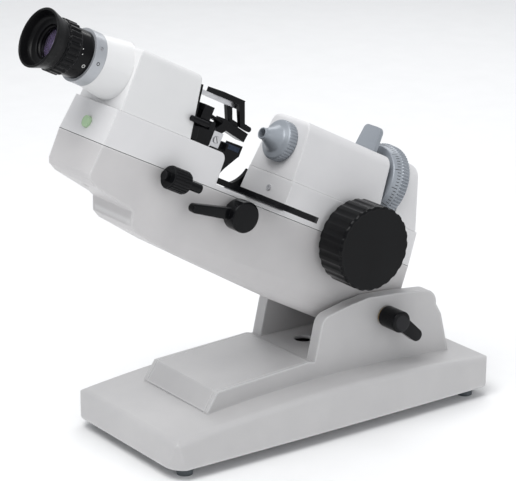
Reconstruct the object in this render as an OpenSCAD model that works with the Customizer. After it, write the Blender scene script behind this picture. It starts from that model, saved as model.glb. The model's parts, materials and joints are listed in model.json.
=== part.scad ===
// Manual lensmeter: a tilting optical body carried between two cheeks of a flat base.
// Frame: +X is the operator's right, +Y points away from the operator, +Z is up.
// The origin lies on the table plane, under the middle of the whole instrument.

/* [Base] */
// Width of the base
base_w = 134; // [128:1:150]
// Length of the base, front to rear
base_l = 284; // [276:1:300]
// Plan radius of the base corners
base_r = 15; // [8:1:24]
// Height of the rubber feet under the base
foot_h = 8.4; // [6:0.2:12]
// Wall thickness of the castings
wall = 2.6; // [2:0.1:3.2]

/* [Tilt] */
// Rest angle of the optical axis above the horizontal
tilt = 27.1; // [8:0.1:60]
// Height of the tilt axis above the table
pivot_z = 71.5; // [70:0.5:76]
// Distance of the tilt axis behind the base centre
pivot_y = 60; // [54:1:66]
// Clear width between the cheeks
yoke_gap = 56.4; // [56:0.2:60]
// Thickness of each cheek
cheek_t = 9.6; // [8:0.2:12]
// Diameter of the tilt shaft
tilt_shaft_d = 10; // [8:1:11]

/* [Body] */
// Width of the body at the seam
body_w = 54.6; // [53:0.2:55]
// Distance from the tilt axis to the front face of the body
body_front = 280; // [276:1:284]
// Height of the seam above the tilt axis
seam_w = 39.1; // [39:0.1:40]
// Height of the ledge under the top covers
ledge_w = 64.1; // [63:0.1:65]
// Height of the optical axis above the tilt axis
axis_w = 87.6; // [87:0.1:88]
// Height of the top faces of the covers
top_w = 106.6; // [106:0.1:108]

/* [Eyepiece] */
// Radius of the eyecup rim
eyecup_r = 20.4; // [19.5:0.1:21]
// Number of ribs on the dioptre ring
dioptre_ribs = 24; // [16:1:32]

/* [Power wheel] */
// Radius of the power wheel
power_r = 31; // [28:0.1:31.5]
// Depth of the power wheel
power_depth = 25.9; // [22:0.1:28]
// Number of flutes on the power wheel
power_flutes = 24; // [14:1:24]
// Number of teeth on the power pinion
pinion_teeth = 15; // [15:1:16]
// Module of the power pinion and its rack
pinion_module = 0.8; // [0.8:0.1:0.8]

/* [Lens table] */
// Length of the lens table, side to side
table_l = 144; // [130:1:148]
// Depth of the lens table, front to rear
table_d = 34.5; // [30:0.5:35]
// Radius of the cylinder axis ring
axis_ring_r = 29; // [28:0.1:29.5]

/* [Hidden] */
$fn = 96;
slip = 0.05;
gap = 0.2;
base_bottom = foot_h;
half_body = body_w / 2;
// Stations along the body, measured from the tilt axis; the operator's end is negative.
front_s = -body_front;
front_end_s = -181.5;
rear_face_s = -118;
rear_s = 12.5;
deck_w = 42.4;
tele_front_s = -275.5;
tele_rear_s = -214.5;
tele_lean = 8;
tele_slope = atan((tele_lean + 3 - 3 * cos(10)) / (top_w - 3 + 3 * sin(10) - ledge_w));
coll_rear_s = -32;
coll_lean = 4;
lamp_front_s = -16.6;
power_s = -51.5;
power_w = seam_w + 2.5;
table_shaft_s = -159.5;
table_shaft_w = 29.1;
table_w = 43.1;
table_t = 4.3;
table_rear_s = rear_face_s - 2;
holder_w = 97.3;
holder_knob_w = 35.6;
holder_knob_s = -221;
holder_knob_x = half_body + 9.4;
ring_rear_s = -17.8;
ring_front_s = -31.2;
eyepiece_s = -296.5;
filter_s = -44.5;
filter_pivot_x = -15.6;
filter_pivot_w = axis_w + 10.8;
screw_x = 20.2;
screw_s = [-266, -104];
housing_screw_s = [-262, rear_face_s + wall + 2];
screw_head_w = 14;
lamp_screw_s = -5;
button_w = 49.4;
inlet_lip = 1.8;
// The instrument overhangs its base in front, so the base centre lies behind the origin.
eyecup_front_s = eyepiece_s - 43;
front_y = pivot_y + eyecup_front_s * cos(tilt) + (axis_w + 0.7 - eyecup_r) * sin(tilt);
base_y = -(front_y + base_l / 2 + inlet_lip) / 2;
marker_pivot_s = -184.5;
marker_pivot_w = 70.6;
pen_w = 83.2;
pen_tilt = 8.5;

// ---------- frames and shared shapes ----------

// Places children in the frame of the base, whose origin is under the base centre.
module on_base() {
    translate([0, base_y, 0])
        children();
}

// Places children in the frame of the tilting body: X right, Y rearward, Z across the body.
module on_body() {
    translate([0, base_y + pivot_y, pivot_z])
        rotate([-tilt, 0, 0])
            children();
}

// A cylinder whose axis runs along X, from x0 to x1.
module rod_x(r, x0, x1, y = 0, z = 0) {
    translate([x0, y, z])
        rotate([0, 90, 0])
            cylinder(r = r, h = x1 - x0);
}

// A cylinder or cone whose axis runs along Y, from y0 to y1.
module rod_y(r, y0, y1, x = 0, z = 0, r_end = undef) {
    translate([x, y0, z])
        rotate([-90, 0, 0])
            cylinder(r1 = r, r2 = is_undef(r_end) ? r : r_end, h = y1 - y0);
}

// A box given by its two corners.
module box(low, high) {
    translate(low)
        cube(high - low);
}

// A side outline, drawn in the Y-Z plane, given width along X.
module side_slab(width, x_mid = 0) {
    translate([x_mid - width / 2, 0, 0])
        rotate([90, 0, 90])
            linear_extrude(width)
                children();
}

// A cross outline, drawn in the X-Z plane, given length along Y from y0 to y1.
module cross_slab(y0, y1) {
    translate([0, y1, 0])
        rotate([90, 0, 0])
            linear_extrude(y1 - y0)
                children();
}

// Points of an arc in degrees.
function arc(cx, cy, r, a0, a1, n = 12) =
    [for (i = [0 : n]) let (a = a0 + (a1 - a0) * i / n) [cx + r * cos(a), cy + r * sin(a)]];

// A rectangle with rounded corners, centred on the origin.
module rounded_rect(w, l, r) {
    polygon(concat(
        arc(w / 2 - r, l / 2 - r, r, 0, 90),
        arc(r - w / 2, l / 2 - r, r, 90, 180),
        arc(r - w / 2, r - l / 2, r, 180, 270),
        arc(w / 2 - r, r - l / 2, r, 270, 360)));
}

// A gear outline with straight-sided teeth thinned for backlash.
module gear_outline(teeth, m) {
    pitch_r = teeth * m / 2;
    tip = 0.8 * m;
    root = 1.15 * m;
    tooth = 360 / teeth;
    at_tip = tooth * 0.12;
    at_root = tooth * 0.3;
    polygon([for (i = [0 : teeth - 1], side = [0 : 3])
        let (
            a = i * tooth + [-at_root, -at_tip, at_tip, at_root][side],
            r = (side == 0 || side == 3) ? pitch_r - root : pitch_r + tip)
        [r * cos(a), r * sin(a)]]);
}

// A rack outline along +X with its pitch line on y = 0 and its teeth pointing to -Y.
module rack_outline(length, m, back) {
    pitch = PI * m;
    count = floor(length / pitch / 2);
    difference() {
        translate([-length / 2, -0.8 * m])
            square([length, back + 0.8 * m]);
        for (i = [-count : count])
            translate([i * pitch, 0])
                polygon([
                    [-0.38 * pitch, -m], [0.38 * pitch, -m],
                    [0.14 * pitch, 1.2 * m], [-0.14 * pitch, 1.2 * m]]);
    }
}

// A pan-head screw pointing to -Z with its head standing on z = 0.
module screw(d, length, head_d, head_h) {
    difference() {
        union() {
            cylinder(d = head_d, h = head_h, $fn = 32);
            translate([0, 0, -length])
                cylinder(d = d, h = length, $fn = 32);
        }
        for (a = [0, 90])
            rotate(a)
                translate([-head_d * 0.32, -head_d * 0.07, head_h * 0.5])
                    cube([head_d * 0.64, head_d * 0.14, head_h]);
    }
}

// ---------- base ----------

hump_w = 79;
panel_w = 71.4;
panel_t = 2.4;
panel_front_y = -98.4;
panel_nose_y = -89.6;
panel_rear_y = -9.2;
panel_foot_z = 33.5;
panel_nose_z = 46.7;
panel_rear_z = 50.6;
yoke_floor_z = 49.4;
cheek_rear_y = 119;
base_crown_z = 36.9;
base_draft = 9;
base_edge_r = 5;
arch_r = 1204;
arch_y = 8;
plate_t = 2.4;
plate_lip = 3.4;
foot_x = base_w / 2 - 15;
foot_y = base_l / 2 - 16;
foot_r = 6.6;
plate_screw_x = 50;
plate_screw_y = 60;
panel_screw_y = [-70, -28];

// Height of the arched top of the base plate at a station along the base.
function arch_z(y) = base_crown_z - arch_r + sqrt(arch_r * arch_r - (y - arch_y) * (y - arch_y));

// Half cross-section of the base plate, drawn as [distance from the arch centre, X].
function base_half_section(inset) =
    let (
        deep = arch_r - 60,
        half = base_w / 2 - inset,
        lean = tan(base_draft),
        edge_r = base_edge_r - min(inset, base_edge_r - 0.5),
        top = arch_r - inset,
        crown_h = base_crown_z - base_bottom,
        edge_x = half - (crown_h - base_edge_r) * lean - edge_r)
    concat(
        [[deep, half + (60 - crown_h) * lean]],
        [for (a = [base_draft : (90 - base_draft) / 6 : 90])
            [top - edge_r + edge_r * sin(a), edge_x + edge_r * cos(a)]]);

// Arched slab with drafted sides and rounded top edges, swept round the arch centre.
module base_sweep(inset) {
    sweep_angle = 18;
    right = base_half_section(inset);
    left = [for (i = [len(right) - 1 : -1 : 0]) [right[i][0], -right[i][1]]];
    translate([0, arch_y, base_crown_z - arch_r])
        rotate([90, 0, 90])
            rotate(90 - sweep_angle / 2)
                rotate_extrude(angle = sweep_angle, $fn = 1440)
                    polygon(concat(right, left));
}

// Side outline of the base plate: drafted in front, upright behind, round at both top edges.
module base_ends(inset) {
    r = base_edge_r;
    end = base_l / 2 - inset;
    front_z = arch_z(-base_l / 2 + r) - inset - r * sin(73);
    rear_z = arch_z(base_l / 2 - r) - inset - r * sin(73);
    front_c = -end + (front_z - base_bottom) * tan(base_draft) + r;
    polygon(concat(
        [[end, base_bottom]],
        arc(end - r, rear_z, r, 0, 76, 6),
        [[0, 70]],
        arc(front_c, front_z, r, 104, 180 - base_draft, 6),
        [[-end, base_bottom]]));
}

module base_plate_solid(inset) {
    intersection() {
        translate([0, 0, base_bottom])
            linear_extrude(60)
                rounded_rect(base_w - 2 * inset, base_l - 2 * inset, base_r - inset);
        side_slab(base_w)
            base_ends(inset);
        base_sweep(inset);
    }
}

// Outline of the raised hump under the cover panel, in the Y-Z plane.
module hump_outline(drop) {
    polygon([
        [panel_front_y + drop, base_bottom],
        [panel_front_y + drop, panel_foot_z],
        [panel_nose_y + drop, panel_nose_z - drop],
        [panel_rear_y, panel_rear_z - drop],
        [panel_rear_y + 4, yoke_floor_z - drop],
        [cheek_rear_y - 6, yoke_floor_z - drop],
        [cheek_rear_y - drop, base_bottom]]);
}

// The hump, as wide as the panel's seat in front and flush with the cheeks behind it.
module hump_solid(drop) {
    wide = hump_w / 2 - drop;
    flush = yoke_gap / 2 + cheek_t - drop;
    intersection() {
        side_slab(hump_w)
            hump_outline(drop);
        linear_extrude(100)
            polygon([
                [-wide, panel_front_y - 1], [wide, panel_front_y - 1],
                [flush, panel_rear_y + 4], [flush, base_l / 2],
                [-flush, base_l / 2], [-flush, panel_rear_y + 4]]);
    }
}

module cheek_outline() {
    polygon(concat(
        [[cheek_rear_y + 2, 30], [cheek_rear_y - 6, 62]],
        arc(96, 71.5, 12, -5, 82),
        [[70, 86.4], [44, 88.2], [28, 86.2]],
        arc(11.5, 72.5, 10, 112, 166),
        [[panel_rear_y + 5, yoke_floor_z - 1], [panel_rear_y + 5, 30]]));
}

module panel_outline() {
    polygon([
        [panel_front_y, panel_foot_z - 1],
        [panel_front_y, panel_foot_z],
        [panel_nose_y, panel_nose_z],
        [panel_rear_y, panel_rear_z],
        [panel_rear_y, panel_rear_z - panel_t],
        [panel_nose_y + 1.2, panel_nose_z - panel_t],
        [panel_front_y + 2.6, panel_foot_z - 1]]);
}

// The seat cut for the panel: open above and in front, with the panel's underside as its floor.
module panel_seat_outline() {
    open_z = panel_rear_z + 5;
    polygon([
        [panel_front_y - 2, panel_foot_z - 1],
        [panel_front_y - 2, open_z],
        [panel_rear_y + gap, open_z],
        [panel_rear_y + gap, panel_rear_z - panel_t],
        [panel_nose_y + 1.2, panel_nose_z - panel_t],
        [panel_front_y + 2.6, panel_foot_z - 1]]);
}

module base_casting() {
    color("gainsboro")
    on_base()
    difference() {
        union() {
            difference() {
                union() {
                    base_plate_solid(0);
                    hump_solid(0);
                    for (side = [-1, 1])
                        side_slab(cheek_t, side * (yoke_gap + cheek_t) / 2)
                            cheek_outline();
                }
                base_plate_solid(wall);
                hump_solid(wall);
                translate([0, 0, base_bottom])
                    linear_extrude(plate_t + 0.1)
                        rounded_rect(base_w - 2 * plate_lip, base_l - 2 * plate_lip, base_r - plate_lip);
            }
            // Posts that take the foot screws and the bottom screws.
            intersection() {
                union() {
                    for (x = [-1, 1], y = [-1, 1])
                        translate([x * foot_x, y * foot_y, base_bottom + plate_t])
                            cylinder(r = 5.4, h = 40);
                    for (x = [-1, 1], y = [-plate_screw_y, plate_screw_y])
                        translate([x * plate_screw_x, y, base_bottom + plate_t])
                            cylinder(r = 4.4, h = 40);
                }
                base_plate_solid(1);
            }
        }
        // Seat of the cover panel, cut right through the hump skin inside a narrow ledge.
        side_slab(panel_w + 2 * gap)
            panel_seat_outline();
        side_slab(panel_w - 6)
            polygon([
                [panel_nose_y + 6, 30], [panel_nose_y + 6, 60],
                [panel_rear_y - 6, 60], [panel_rear_y - 6, 30]]);
        // Bores for the tilt bushes.
        rod_x(tilt_shaft_d / 2 + 1.6, -60, 60, pivot_y, pivot_z);
        // Cable hole in the floor between the cheeks.
        translate([-6, 19, 30])
            cylinder(r = 7, h = 40);
        // Threaded holes for the bottom screws, feet and panel screws.
        for (x = [-1, 1], y = [-1, 1])
            translate([x * foot_x, y * foot_y, base_bottom])
                cylinder(d = 4, h = 14);
        for (x = [-1, 1], y = [-plate_screw_y, plate_screw_y])
            translate([x * plate_screw_x, y, base_bottom])
                cylinder(d = 3, h = 14);
        // Window for the power inlet in the rear wall.
        box([-14.3, base_l / 2 - 6, 11.3], [14.3, base_l / 2 + 2, 23.9]);
    }
}

// Height of the panel's top face at a station along the base.
function panel_top(y) =
    panel_nose_z + (y - panel_nose_y) * (panel_rear_z - panel_nose_z) / (panel_rear_y - panel_nose_y);

module cover_panel() {
    color("gainsboro")
    on_base()
    union() {
        side_slab(panel_w)
            panel_outline();
        for (y = panel_screw_y)
            difference() {
                translate([0, y, base_bottom + plate_t])
                    cylinder(r = 4, h = panel_top(y) - panel_t / 2 - base_bottom - plate_t);
                translate([0, y, base_bottom])
                    cylinder(d = 3, h = 20);
            }
    }
}

module bottom_plate() {
    color("silver")
    on_base()
    difference() {
        translate([0, 0, base_bottom])
            linear_extrude(plate_t)
                rounded_rect(
                    base_w - 2 * plate_lip - 0.2,
                    base_l - 2 * plate_lip - 0.2,
                    base_r - plate_lip - 0.1);
        for (x = [-1, 1], y = [-1, 1])
            translate([x * foot_x, y * foot_y, base_bottom - 1])
                cylinder(d = 4.2, h = 10);
        for (y = panel_screw_y)
            translate([0, y, base_bottom - 1])
                cylinder(d = 3.2, h = 10);
        for (x = [-1, 1], y = [-plate_screw_y, plate_screw_y])
            translate([x * plate_screw_x, y, base_bottom - 1])
                cylinder(d = 3.2, h = 10);
        for (i = [-3 : 3])
            box([-22, i * 7 - 1.5, base_bottom - 1], [22, i * 7 + 1.5, base_bottom + 10]);
    }
}

// Screws of the bottom plate: four reach the casting and two hold the cover panel's pegs.
module plate_screws() {
    places = concat(
        [for (x = [-1, 1], y = [-1, 1]) [x * plate_screw_x, y * plate_screw_y]],
        [for (y = panel_screw_y) [0, y]]);
    color("silver")
    on_base()
    for (p = places)
        translate([p[0], p[1], base_bottom])
            rotate([180, 0, 0])
                screw(3, plate_t + 10, 6, 1.8);
}

module rubber_feet() {
    color([0.13, 0.13, 0.14])
    on_base()
    for (x = [-1, 1], y = [-1, 1])
        translate([x * foot_x, y * foot_y, 0])
            difference() {
                cylinder(r1 = foot_r - 0.9, r2 = foot_r, h = foot_h);
                translate([0, 0, -1])
                    cylinder(d = 7.6, h = foot_h - 2);
                cylinder(d = 4.1, h = foot_h + 2);
            }
}

module foot_screws() {
    color("silver")
    on_base()
    for (x = [-1, 1], y = [-1, 1])
        translate([x * foot_x, y * foot_y, foot_h - 3])
            rotate([180, 0, 0])
                screw(4, 14, 7, 2);
}

module power_supply() {
    board_y0 = 70;
    board_y1 = 128;
    base_top = base_bottom + plate_t;
    color("seagreen")
    on_base()
    union() {
        box([-28, board_y0, base_top + 3], [28, board_y1, base_top + 4.6]);
        for (x = [-24, 24], y = [board_y0 + 4, board_y1 - 4])
            translate([x, y, base_top])
                cylinder(r = 2.4, h = 3.2);
        box([-20, board_y0 + 6, base_top + 4.5], [4, board_y0 + 26, base_top + 18]);
        for (x = [12, 20])
            translate([x, board_y0 + 14, base_top + 4.5])
                cylinder(r = 3.6, h = 12);
        box([-12, board_y0 + 31, base_top + 4.5], [12, board_y0 + 36, base_top + 16]);
    }
}

module power_inlet() {
    color([0.1, 0.1, 0.1])
    on_base()
    difference() {
        union() {
            box([-14, base_l / 2 - 12.2, 11.6], [14, base_l / 2, 23.6]);
            box([-17, base_l / 2, 10.8], [17, base_l / 2 + inlet_lip, 24.4]);
        }
        box([-11, base_l / 2 - 10, 13.2], [11, base_l / 2 + 4, 22]);
    }
}

// ---------- tilt joint and clamp ----------

shaft_left_x = -yoke_gap / 2 - cheek_t - 6;
shaft_right_x = yoke_gap / 2 + cheek_t + 12;
ear_half = 25.8;

module tilt_shaft() {
    color("silver")
    on_base()
    rod_x(tilt_shaft_d / 2, shaft_left_x, shaft_right_x, pivot_y, pivot_z);
}

module tilt_bushes() {
    color("goldenrod")
    on_base()
    for (side = [-1, 1])
        difference() {
            rod_x(tilt_shaft_d / 2 + 1.6, side > 0 ? yoke_gap / 2 : -yoke_gap / 2 - cheek_t - 1,
                side > 0 ? yoke_gap / 2 + cheek_t + 1 : -yoke_gap / 2, pivot_y, pivot_z);
            rod_x(tilt_shaft_d / 2, -80, 80, pivot_y, pivot_z);
        }
}

module friction_washers() {
    color("saddlebrown")
    on_base()
    for (side = [-1, 1])
        difference() {
            rod_x(14, side > 0 ? ear_half + 0.1 : -yoke_gap / 2,
                side > 0 ? yoke_gap / 2 : -ear_half - 0.1, pivot_y, pivot_z);
            rod_x(tilt_shaft_d / 2 + 0.1, -80, 80, pivot_y, pivot_z);
        }
}

module shaft_nut() {
    color("silver")
    on_base()
    difference() {
        rod_x(9, shaft_left_x - 0.4, -yoke_gap / 2 - cheek_t - 1, pivot_y, pivot_z);
        rod_x(tilt_shaft_d / 2, -80, 80, pivot_y, pivot_z);
    }
}

clamp_angle = -41;
clamp_reach = 20;
clamp_half_w = 5;

module clamp_lever() {
    x0 = yoke_gap / 2 + cheek_t + 1.2;
    color([0.1, 0.1, 0.11])
    on_base()
    translate([x0, pivot_y, pivot_z])
        difference() {
            union() {
                rod_x(8.8, 0, 9);
                rod_x(8, 0, 17.6);
                translate([10, 0, 0])
                    rotate([clamp_angle, 0, 0])
                        union() {
                            translate([0, 0, -clamp_half_w])
                                cube([7.6, clamp_reach, 2 * clamp_half_w]);
                            rod_x(clamp_half_w, 0, 7.6, clamp_reach, 0);
                        }
            }
            rod_x(tilt_shaft_d / 2 + slip, -2, shaft_right_x - x0 + 0.6);
        }
}

// ---------- body shells ----------

belly = [
    [front_s + 1.6, 14.6], [front_s + 8, 11.6], [-240.5, 6.5], [-236, 4.8], [-232, -4.6], [-226, -7.6],
    [-190, -12.2], [-140, -15.7], [-96, -18.6], [-42, -20]];

// Side outline of the lower housing; the rear end is an arc round the tilt axis.
module lower_outline(inset) {
    polygon(concat(
        [[front_s + inset, seam_w], [front_s + inset, 18]],
        [for (p = belly) [p[0] + (p[1] > 0 ? inset : 0), p[1] + inset]],
        arc(0, 0, 20 - inset, 270, 350),
        [[16.5 - inset, 18], [rear_s - inset, seam_w]]));
}

// Cross outline of the lower housing: tapered sides and round bottom edges.
module lower_cross(inset) {
    half_top = half_body - inset;
    half_low = 22 - inset;
    r = 8;
    polygon(concat(
        [[half_top, seam_w], [-half_top, seam_w], [-half_low - 2.2, -2]],
        arc(r - half_low, -19.9 + inset + r, r, 180, 270, 8),
        arc(half_low - r, -19.9 + inset + r, r, 270, 360, 8),
        [[half_low + 2.2, -2]]));
}

module lower_solid(inset) {
    intersection() {
        side_slab(body_w)
            lower_outline(inset);
        cross_slab(front_s, rear_s + 10)
            lower_cross(inset);
    }
}

module lower_housing() {
    color("lightgrey")
    on_body()
        difference() {
            union() {
                difference() {
                    lower_solid(0);
                    lower_solid(wall);
                    // Open top.
                    box([wall - half_body, front_s + wall, seam_w - 0.5],
                        [half_body - wall, rear_s - wall, seam_w + 1]);
                }
                // Ears that turn on the tilt shaft.
                rod_x(13.5, -ear_half, ear_half);
                // Posts of the housing screws.
                intersection() {
                    for (y = housing_screw_s)
                        translate([0, y, -30])
                            cylinder(r = 4.6, h = seam_w + 30);
                    lower_solid(1);
                }
                // Bearing walls of the table shaft.
                for (x = [-1, 1])
                    intersection() {
                        rod_x(7, x > 0 ? 20 : -26.5, x > 0 ? 26.5 : -20, table_shaft_s, table_shaft_w);
                        lower_solid(0);
                    }
                // Guide block of the table stem.
                intersection() {
                    box([-12, -149.6, -14], [12, -134, seam_w - 0.6]);
                    lower_solid(1);
                }
            }
            rod_x(tilt_shaft_d / 2 + slip, -60, 60);
            rod_x(3 + slip, -25.5, 60, table_shaft_s, table_shaft_w);
            // Notches for the bosses round the power shaft.
            rod_x(8.4, -24.95, 60, power_s, power_w);
            // Slot that the holder link slides in.
            box([23, grip_arm_s0 - 0.4, holder_knob_w - 1.9],
                [40, grip_arm_s1 + grip_travel + 0.4, seam_w + 1]);
            // Channel of the table stem.
            box([-8.1, -146.4, -12.9], [8.1, -137.6, 60]);
            box([-8.1, -160, -12], [8.1, -146, 60]);
            for (y = housing_screw_s)
                translate([0, y, -30]) {
                    cylinder(d = 2.6, h = 120);
                    cylinder(d = 5.8, h = screw_head_w + 30);
                }
        }
}

chassis_front_top = front_s + 1.6;
chassis_rear_top = 9.5;

module front_block_outline(inset) {
    polygon(concat(
        [[front_s + inset, seam_w], [chassis_front_top + inset, ledge_w - inset]],
        arc(front_end_s - 5 - inset, ledge_w - 5 - inset, 5, 90, 0, 8),
        [[front_end_s - inset, seam_w]]));
}

module rear_block_outline(inset) {
    polygon([
        [rear_face_s + inset, seam_w], [rear_face_s + inset, ledge_w - inset],
        [chassis_rear_top - inset, ledge_w - inset], [rear_s - inset, seam_w]]);
}

// Cross outline of the chassis: sides that lean in a little towards the ledge.
module chassis_cross(inset) {
    low = half_body - inset;
    high = half_body - 1.6 - inset;
    polygon([[-low, seam_w], [low, seam_w], [high, ledge_w], [-high, ledge_w]]);
}

module chassis_solid(inset) {
    intersection() {
        union() {
            side_slab(body_w)
                front_block_outline(inset);
            side_slab(body_w)
                rear_block_outline(inset);
        }
        cross_slab(front_s, rear_s)
            chassis_cross(inset);
    }
}

module chassis() {
    color("whitesmoke")
    on_body()
        difference() {
            union() {
                difference() {
                    union() {
                        chassis_solid(0);
                        box([-half_body, front_end_s - 1, seam_w], [half_body, rear_face_s + 1, deck_w]);
                    }
                    chassis_solid(wall);
                    // Tops are open under the three covers.
                    box([-22, tele_front_s + 3, ledge_w - 4], [22, tele_rear_s - 3, ledge_w + 1]);
                    box([-22, rear_face_s + 3, ledge_w - 4], [22, -36, ledge_w + 1]);
                    box([-15, -14, ledge_w - 4], [15, 4, ledge_w + 1]);
                }
                // Bosses for the power bearings.
                for (side = [-1, 1])
                    rod_x(8, side > 0 ? 19 : -24.9, side > 0 ? half_body - 0.6 : -19,
                        power_s, power_w);
                // Pillars that the cover screws pass through.
                for (x = [-1, 1], y = screw_s)
                    translate([x * screw_x, y, seam_w])
                        cylinder(r = 3.4, h = ledge_w - seam_w);
                // Pillars of the lamp cover.
                for (x = [-1, 1])
                    translate([x * screw_x, lamp_screw_s, ledge_w - 8])
                        cylinder(r = 3, h = 8);
                // Blocks that hold the lower ends of the guide-rod frames.
                for (y = [rear_face_s + wall, rail_rear_s - 0.2])
                    box([-24, y, seam_w], [24, y + 4, ledge_w]);
                // Wall that carries the power switch.
                box([-24, -265, seam_w], [24, -259, ledge_w - 1]);
            }
            // Passage for the table stem through the deck.
            box([-8.6, -146.8, seam_w - 1], [8.6, -137.2, deck_w + 1]);
            box([-4.6, -152, seam_w - 1], [4.6, -146, deck_w + 1]);
            // Slot that the cylinder axis ring turns in.
            rod_y(axis_ring_r + 0.7, ring_front_s - 0.6, ring_rear_s + 0.6, 0, axis_w);
            // Bores of the power bearings.
            rod_x(5, -24.4, 60, power_s, power_w);
            rod_x(table_teeth * table_module / 2 + 1.6, -4.6, 4.6, table_shaft_s, table_shaft_w);
            // Room for the rack and the carriage foot.
            box([-9, -99, seam_w - 1], [9, -20, 56]);
            rod_y(1.2, rear_face_s - 1, rear_face_s + wall, 3.6, ledge_w - 9.8);
            // Bore of the power button.
            rod_y(4.1, front_s - 4, front_s + 20, 0, button_w);
            for (x = [-1, 1], y = [screw_s[0], screw_s[1], lamp_screw_s])
                translate([x * screw_x, y, seam_w - 1])
                    cylinder(d = 2.6, h = 60);
            for (y = housing_screw_s)
                translate([0, y, seam_w - 1])
                    cylinder(d = 2.6, h = 16);
        }
}

// Side outline of the telescope cover.
module telescope_outline(inset) {
    polygon(concat(
        [[tele_front_s + inset, ledge_w]],
        arc(tele_front_s + 3, top_w - 3, 3 - min(inset, 2.9), 180, 90, 6),
        arc(tele_rear_s - tele_lean - 3, top_w - 3, 3 - min(inset, 2.9), 90, 10, 6),
        [[tele_rear_s - inset, ledge_w]]));
}

// Cross outline shared by the top covers: sides lean in and the top edges are round.
module cover_cross(half_low, half_high, r, inset) {
    polygon(concat(
        [[-half_low + inset, ledge_w]],
        arc(r - half_high, top_w - r, r - inset, 175, 90, 10),
        arc(half_high - r, top_w - r, r - inset, 90, 5, 10),
        [[half_low - inset, ledge_w]]));
}

module telescope_solid(inset) {
    intersection() {
        side_slab(60)
            telescope_outline(inset);
        cross_slab(tele_front_s, tele_rear_s)
            cover_cross(25.4, 23.6, 4.5, inset);
    }
}

cone_base_r = 21.6;
cone_end_r = 18.4;
tube_r = 15;

module telescope_cover() {
    color("whitesmoke")
    on_body()
        difference() {
            union() {
                difference() {
                    union() {
                        telescope_solid(0);
                        rod_y(cone_end_r, eyepiece_s, tele_front_s + 2, 0, axis_w, cone_base_r);
                    }
                    telescope_solid(2.2);
                    box([-23.2, tele_front_s + 2.2, ledge_w - 1], [23.2, tele_rear_s - 2.2, ledge_w + 1]);
                }
                // Inner wall that carries the narrow end of the telescope tube.
                intersection() {
                    box([-30, -258, ledge_w], [30, -255, top_w]);
                    telescope_solid(1);
                }
                for (x = [-1, 1])
                    translate([x * screw_x, screw_s[0], ledge_w])
                        cylinder(r = 3.7, h = 14);
            }
            rod_y(tube_r, eyepiece_s - 1, tele_front_s + 4, 0, axis_w);
            rod_y(tube_r, -259, -254, 0, axis_w);
            // Window for the objective and the holder bar.
            rod_y(8.4, tele_rear_s - 14, tele_rear_s + 2, 0, axis_w);
            box([-4.6, tele_rear_s - 14, holder_w - 2.1], [4.6, tele_rear_s + 2, holder_w + 2.1]);
            for (x = [-1, 1])
                translate([x * screw_x, screw_s[0], ledge_w - 1])
                    cylinder(d = 2.6, h = 12);
        }
}

module collimator_outline(inset) {
    polygon(concat(
        [[rear_face_s + inset, ledge_w]],
        arc(rear_face_s + 4, top_w - 3.4, 4 - inset, 180, 90, 6),
        [[coll_rear_s - coll_lean - inset, top_w + 0.6 - inset], [coll_rear_s - inset, ledge_w]]));
}

module collimator_solid(inset) {
    intersection() {
        side_slab(60)
            collimator_outline(inset);
        cross_slab(rear_face_s, coll_rear_s)
            cover_cross(25.4, 21.5, 8, inset);
    }
}

module collimator_cover() {
    color("whitesmoke")
    on_body()
        difference() {
            union() {
                difference() {
                    collimator_solid(0);
                    collimator_solid(2.2);
                    box([-23.2, rear_face_s + 2.2, ledge_w - 1], [23.2, coll_rear_s - 2.2, ledge_w + 1]);
                }
                for (x = [-1, 1])
                    translate([x * screw_x, screw_s[1], ledge_w])
                        cylinder(r = 2.8, h = 12);
                // Lugs that carry the spindle of the filter lever.
                intersection() {
                    for (y = [-96, -50])
                        box([-18.6, y, filter_pivot_w - 2.2], [-13, y + 3, top_w]);
                    collimator_solid(1);
                }
            }
            // Seat of the nosepiece and the light path at the rear.
            rod_y(10, rear_face_s - 1, rear_face_s + 6, 0, axis_w);
            rod_y(15, coll_rear_s - 12, coll_rear_s + 1, 0, axis_w);
            // Slot and bores of the filter lever.
            box([-17.2, filter_s - 2.6, top_w - 3.4], [12.4, filter_s + 2.6, top_w + 4]);
            rod_y(1.5 + slip, -97, -46, filter_pivot_x, filter_pivot_w);
            for (x = [-1, 1])
                translate([x * screw_x, screw_s[1], ledge_w - 1])
                    cylinder(d = 2.6, h = 10);
        }
}

module lamp_outline(inset) {
    polygon(concat(
        [[lamp_front_s + inset, ledge_w], [lamp_front_s + inset, top_w + 2.2 - inset]],
        arc(-11.6, top_w - 1.8, 4 - min(inset, 3), 90, 8, 6),
        [[8.6 - inset, ledge_w]]));
}

module lamp_solid(inset) {
    intersection() {
        side_slab(60)
            lamp_outline(inset);
        cross_slab(lamp_front_s, 9)
            polygon(concat(
                [[-25 + inset, ledge_w]],
                arc(-13, top_w - 6.8, 9 - inset, 172, 90, 10),
                arc(13, top_w - 6.8, 9 - inset, 90, 8, 10),
                [[25 - inset, ledge_w]]));
    }
}

module lamp_cover() {
    color("whitesmoke")
    on_body()
        difference() {
            lamp_solid(0);
            difference() {
                union() {
                    lamp_solid(2);
                    box([-23, lamp_front_s + 2, ledge_w - 1], [23, 6.6, ledge_w + 1]);
                }
                // Seat of the bearing tube inside the front wall.
                rod_y(17, lamp_front_s, lamp_front_s + 4, 0, axis_w);
                for (x = [-1, 1])
                    translate([x * screw_x, lamp_screw_s, ledge_w])
                        cylinder(r = 3, h = 10);
            }
            rod_y(11, lamp_front_s - 1, lamp_front_s + 5, 0, axis_w);
            for (x = [-1, 1])
                translate([x * screw_x, lamp_screw_s, ledge_w - 1])
                    cylinder(d = 2.6, h = 9);
            for (i = [-3 : 3])
                box([i * 5 - 1.2, 2, ledge_w + 8], [i * 5 + 1.2, 14, ledge_w + 22]);
        }
}

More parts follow.
